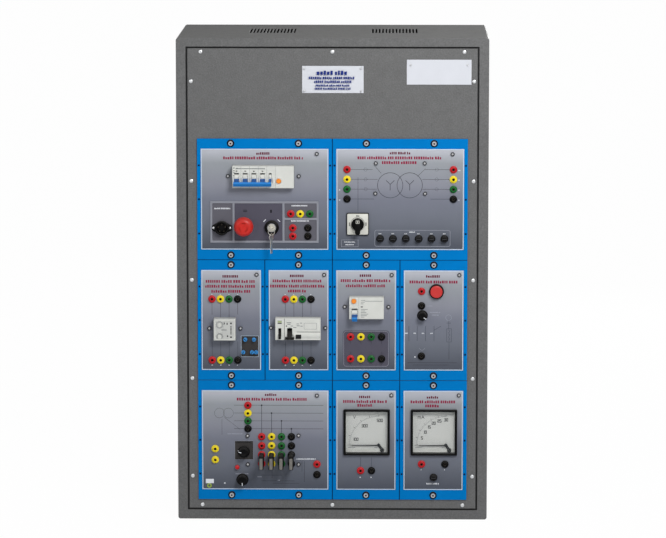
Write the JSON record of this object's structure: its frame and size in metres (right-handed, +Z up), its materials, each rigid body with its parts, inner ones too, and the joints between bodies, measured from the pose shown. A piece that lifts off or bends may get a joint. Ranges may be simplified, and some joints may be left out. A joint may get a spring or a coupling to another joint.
{
  "type": "electrical fault trainer",
  "caption": "Steel cabinet with blue plug-in modules: breaker, emergency stop, key switch, relays, knobs, plug sockets and two panel meters.",
  "frame": {"origin": "centre of the cabinet's bottom face", "axes": "+Z up, the front with its modules faces -Y, +X to the right seen from the front"},
  "size_m": [0.64, 0.4011, 1],
  "materials": {
    "hammertone_grey": "hammertone enamel, semi gloss",
    "panel_grey": "hammertone enamel, semi gloss",
    "module_blue": "smooth enamel, semi gloss",
    "label_grey": "printed film, light grey fading to dark grey",
    "screw_steel": "zinc plated",
    "black_screw": "black oxide",
    "bolt_steel": "plain steel",
    "rail_steel": "zinc plated",
    "core_steel": "varnished laminations",
    "device_white": "moulded, light grey white",
    "device_grey": "moulded, grey",
    "toggle_blue": "moulded",
    "toggle_black": "moulded",
    "button_orange": "moulded",
    "frame_grey": "satin",
    "collar_metal": "satin",
    "black_plastic": "moulded",
    "switch_grey": "moulded",
    "red_plastic": "moulded",
    "yellow_plastic": "moulded",
    "green_plastic": "moulded",
    "blue_plastic": "moulded",
    "key_steel": "nickel plated",
    "dial_white": "moulded, cream dial plate in a black case",
    "window_clear": "clear, glossy"
  },
  "bodies": {
    "cabinet": {"cabinet_shell": "hammertone_grey", "rear_cover": "hammertone_grey", "front_panel": "panel_grey", "case_screws": "screw_steel", "double_module_plates": "module_blue", "single_module_plates": "module_blue", "label_plates": "label_grey", "module_screws": "screw_steel", "plate_bolts": "bolt_steel", "din_rails": "rail_steel", "supply_transformer": "core_steel", "breaker_body": "device_white", "control_frame": "frame_grey", "mains_inlet": "collar_metal", "estop_base": "collar_metal", "key_switch_body": "collar_metal", "cam_switch_body": "switch_grey", "fuse_bodies": "black_plastic", "relay_body": "device_grey", "recloser_body": "device_white", "rcd_body": "device_white", "fault_button_bezel": "black_plastic", "indicator_led": "red_plastic", "blue_sockets": "blue_plastic", "meter_cases": "dial_white", "meter_windows": "window_clear", "red_sockets": "red_plastic", "yellow_sockets": "yellow_plastic", "green_sockets": "green_plastic", "black_sockets": "black_plastic"},
    "breaker_toggles": {"breaker_toggles": "toggle_blue"},
    "breaker_test_button": {"breaker_test_button": "button_orange"},
    "estop_stem": {"estop_stem": "black_plastic"},
    "estop_head": {"estop_head": "red_plastic"},
    "switch_key": {"switch_key": "key_steel"},
    "spare_key_ring": {"spare_key_ring": "key_steel"},
    "cam_switch_handle": {"cam_switch_handle": "black_plastic"},
    "fuse_cap_1": {"fuse_cap_1": "black_plastic"},
    "fuse_cap_2": {"fuse_cap_2": "black_plastic"},
    "fuse_cap_3": {"fuse_cap_3": "black_plastic"},
    "fuse_cap_4": {"fuse_cap_4": "black_plastic"},
    "fuse_cap_5": {"fuse_cap_5": "black_plastic"},
    "fuse_cap_6": {"fuse_cap_6": "black_plastic"},
    "meter_fuse_cap": {"meter_fuse_cap": "black_plastic"},
    "relay_dial_upper": {"relay_dial_upper": "device_white"},
    "relay_dial_lower": {"relay_dial_lower": "device_white"},
    "recloser_lever": {"recloser_lever": "toggle_black"},
    "recloser_toggle": {"recloser_toggle": "toggle_black"},
    "rcd_toggle": {"rcd_toggle": "toggle_blue"},
    "rcd_test_button": {"rcd_test_button": "button_orange"},
    "fault_knob": {"fault_knob": "black_plastic"},
    "fault_button": {"fault_button": "red_plastic"},
    "sensitivity_knob": {"sensitivity_knob": "black_plastic"},
    "delay_knob": {"delay_knob": "black_plastic"},
    "bridging_plug_1": {"bridging_plug_1": "black_plastic"},
    "bridging_plug_2": {"bridging_plug_2": "black_plastic"},
    "bridging_plug_3": {"bridging_plug_3": "black_plastic"},
    "bridging_plug_4": {"bridging_plug_4": "black_plastic"},
    "voltmeter_pointer": {"voltmeter_pointer": "toggle_black"},
    "ammeter_pointer": {"ammeter_pointer": "toggle_black"}
  },
  "joints": [
    {"name": "breaker_toggles_turn", "type": "hinge", "parent": "cabinet", "child": "breaker_toggles", "pos_m": [-0.19565, -0.1928, 0.717], "axis": [-1, 0, 0], "range_deg": [0, 80]},
    {"name": "breaker_test_push", "type": "slide", "parent": "cabinet", "child": "breaker_test_button", "axis": [0, 1, 0], "range_m": [0, 0.0025], "stiffness_N_per_m": 300},
    {"name": "estop_push", "type": "slide", "parent": "cabinet", "child": "estop_stem", "axis": [0, 1, 0], "range_m": [0, 0.005]},
    {"name": "estop_turn", "type": "hinge", "parent": "estop_stem", "child": "estop_head", "pos_m": [-0.1815, -0.1928, 0.615], "axis": [0, 1, 0], "range_deg": [0, 45]},
    {"name": "key_turn", "type": "hinge", "parent": "cabinet", "child": "switch_key", "pos_m": [-0.1245, -0.1778, 0.611], "axis": [0, 1, 0], "range_deg": [0, 90]},
    {"name": "key_ring_swing", "type": "hinge", "parent": "cabinet", "child": "spare_key_ring", "pos_m": [-0.1245, -0.2013, 0.611], "axis": [-1, 0, 0], "range_deg": [-10, 60]},
    {"name": "cam_switch_turn", "type": "hinge", "parent": "cabinet", "child": "cam_switch_handle", "pos_m": [0.052, -0.1858, 0.6186], "axis": [0, 1, 0], "range_deg": [0, 90]},
    {"name": "fuse_cap_1_turn", "type": "hinge", "parent": "cabinet", "child": "fuse_cap_1", "pos_m": [0.098, -0.1808, 0.5882], "axis": [0, -1, 0], "range_deg": [0, 60]},
    {"name": "fuse_cap_2_turn", "type": "hinge", "parent": "cabinet", "child": "fuse_cap_2", "pos_m": [0.1244, -0.1808, 0.5882], "axis": [0, -1, 0], "range_deg": [0, 60]},
    {"name": "fuse_cap_3_turn", "type": "hinge", "parent": "cabinet", "child": "fuse_cap_3", "pos_m": [0.1508, -0.1808, 0.5882], "axis": [0, -1, 0], "range_deg": [0, 60]},
    {"name": "fuse_cap_4_turn", "type": "hinge", "parent": "cabinet", "child": "fuse_cap_4", "pos_m": [0.1772, -0.1808, 0.5882], "axis": [0, -1, 0], "range_deg": [0, 60]},
    {"name": "fuse_cap_5_turn", "type": "hinge", "parent": "cabinet", "child": "fuse_cap_5", "pos_m": [0.2036, -0.1808, 0.5882], "axis": [0, -1, 0], "range_deg": [0, 60]},
    {"name": "fuse_cap_6_turn", "type": "hinge", "parent": "cabinet", "child": "fuse_cap_6", "pos_m": [0.23, -0.1808, 0.5882], "axis": [0, -1, 0], "range_deg": [0, 60]},
    {"name": "meter_fuse_cap_turn", "type": "hinge", "parent": "cabinet", "child": "meter_fuse_cap", "pos_m": [0.2095, -0.1808, 0.0895], "axis": [0, -1, 0], "range_deg": [0, 60]},
    {"name": "relay_dial_upper_turn", "type": "hinge", "parent": "cabinet", "child": "relay_dial_upper", "pos_m": [-0.2318, -0.1978, 0.411], "axis": [0, 1, 0], "range_deg": [-135, 135]},
    {"name": "relay_dial_lower_turn", "type": "hinge", "parent": "cabinet", "child": "relay_dial_lower", "pos_m": [-0.2318, -0.1978, 0.387], "axis": [0, 1, 0], "range_deg": [-135, 135]},
    {"name": "recloser_lever_turn", "type": "hinge", "parent": "cabinet", "child": "recloser_lever", "pos_m": [-0.1078, -0.1928, 0.396], "axis": [-1, 0, 0], "range_deg": [0, 80]},
    {"name": "recloser_toggle_turn", "type": "hinge", "parent": "cabinet", "child": "recloser_toggle", "pos_m": [-0.0875, -0.1928, 0.396], "axis": [-1, 0, 0], "range_deg": [0, 80]},
    {"name": "rcd_toggle_turn", "type": "hinge", "parent": "cabinet", "child": "rcd_toggle", "pos_m": [0.046, -0.1928, 0.437], "axis": [-1, 0, 0], "range_deg": [0, 80]},
    {"name": "rcd_test_push", "type": "slide", "parent": "cabinet", "child": "rcd_test_button", "axis": [0, 1, 0], "range_m": [0, 0.0025], "stiffness_N_per_m": 300},
    {"name": "fault_knob_turn", "type": "hinge", "parent": "cabinet", "child": "fault_knob", "pos_m": [0.1855, -0.1778, 0.429], "axis": [0, 1, 0], "range_deg": [-270, 20]},
    {"name": "fault_button_push", "type": "slide", "parent": "cabinet", "child": "fault_button", "axis": [0, 1, 0], "range_m": [0, 0.003], "stiffness_N_per_m": 300},
    {"name": "sensitivity_knob_turn", "type": "hinge", "parent": "cabinet", "child": "sensitivity_knob", "pos_m": [-0.1835, -0.1778, 0.1425], "axis": [0, 1, 0], "range_deg": [-60, 210]},
    {"name": "delay_knob_turn", "type": "hinge", "parent": "cabinet", "child": "delay_knob", "pos_m": [-0.1863, -0.1778, 0.084], "axis": [0, 1, 0], "range_deg": [0, 270]},
    {"name": "bridging_plug_1_pull", "type": "slide", "parent": "cabinet", "child": "bridging_plug_1", "axis": [0, -1, 0], "range_m": [0, 0.015]},
    {"name": "bridging_plug_2_pull", "type": "slide", "parent": "cabinet", "child": "bridging_plug_2", "axis": [0, -1, 0], "range_m": [0, 0.015]},
    {"name": "bridging_plug_3_pull", "type": "slide", "parent": "cabinet", "child": "bridging_plug_3", "axis": [0, -1, 0], "range_m": [0, 0.015]},
    {"name": "bridging_plug_4_pull", "type": "slide", "parent": "cabinet", "child": "bridging_plug_4", "axis": [0, -1, 0], "range_m": [0, 0.015]},
    {"name": "voltmeter_pointer_turn", "type": "hinge", "parent": "cabinet", "child": "voltmeter_pointer", "pos_m": [0.0961, -0.1746, 0.1559], "axis": [0, 1, 0], "range_deg": [0, 90]},
    {"name": "ammeter_pointer_turn", "type": "hinge", "parent": "cabinet", "child": "ammeter_pointer", "pos_m": [0.2351, -0.1746, 0.1559], "axis": [0, 1, 0], "range_deg": [0, 90]}
  ]
}
